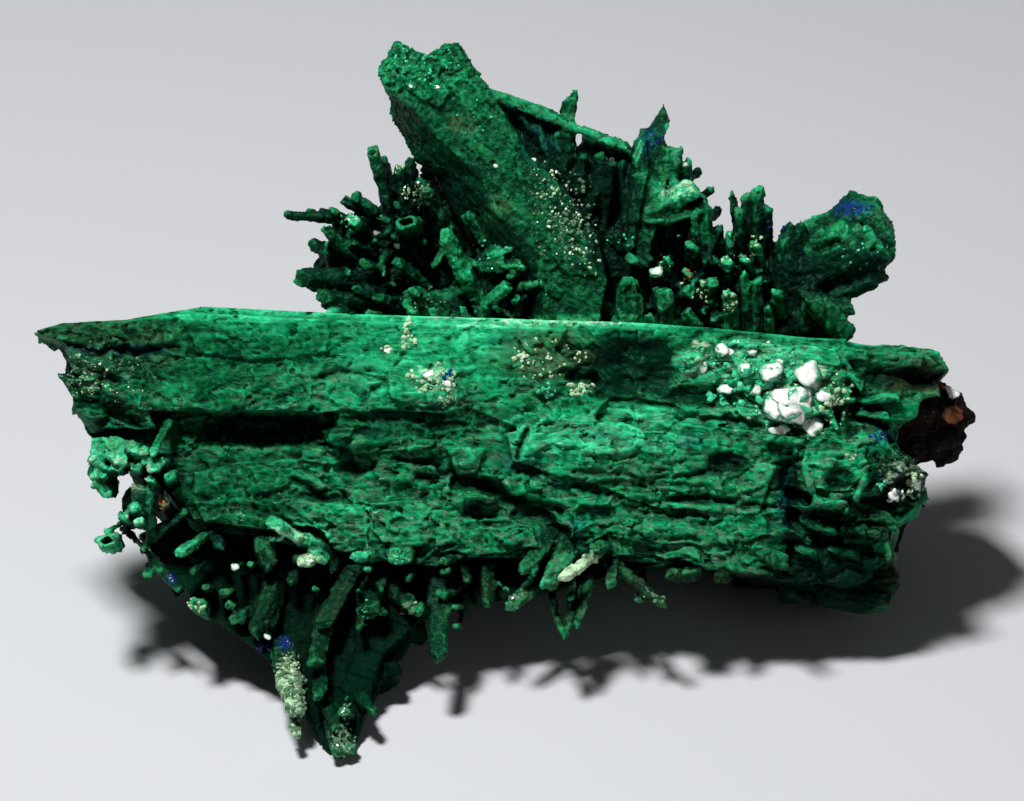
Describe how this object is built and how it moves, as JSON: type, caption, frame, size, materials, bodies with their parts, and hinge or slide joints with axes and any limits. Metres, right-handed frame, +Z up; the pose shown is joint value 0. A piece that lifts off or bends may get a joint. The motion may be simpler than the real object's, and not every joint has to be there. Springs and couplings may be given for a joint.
{
  "type": "malachite pseudomorph specimen",
  "caption": "Mineral specimen: a long tabular crystal with a ledged face leans back on a spray of smaller green prismatic crystals and a lump of brown rock, and rests on a flat break.",
  "frame": {"origin": "middle of the specimen's box, on the surface that it rests on", "axes": "+X to the right along the long crystal, +Y towards the back of the specimen, +Z up"},
  "size_m": [0.1197, 0.0824, 0.0706],
  "materials": {
    "malachite": "fine-grained green malachite, dull to silky, paler and sparkling with tiny crystals in places, with small azurite-blue spots",
    "brown_rock": "rough dark brown iron oxide with pale and reddish specks"
  },
  "bodies": {
    "root": {"malachite_crystals": "malachite", "matrix_rock": "brown_rock"}
  },
  "joints": []
}
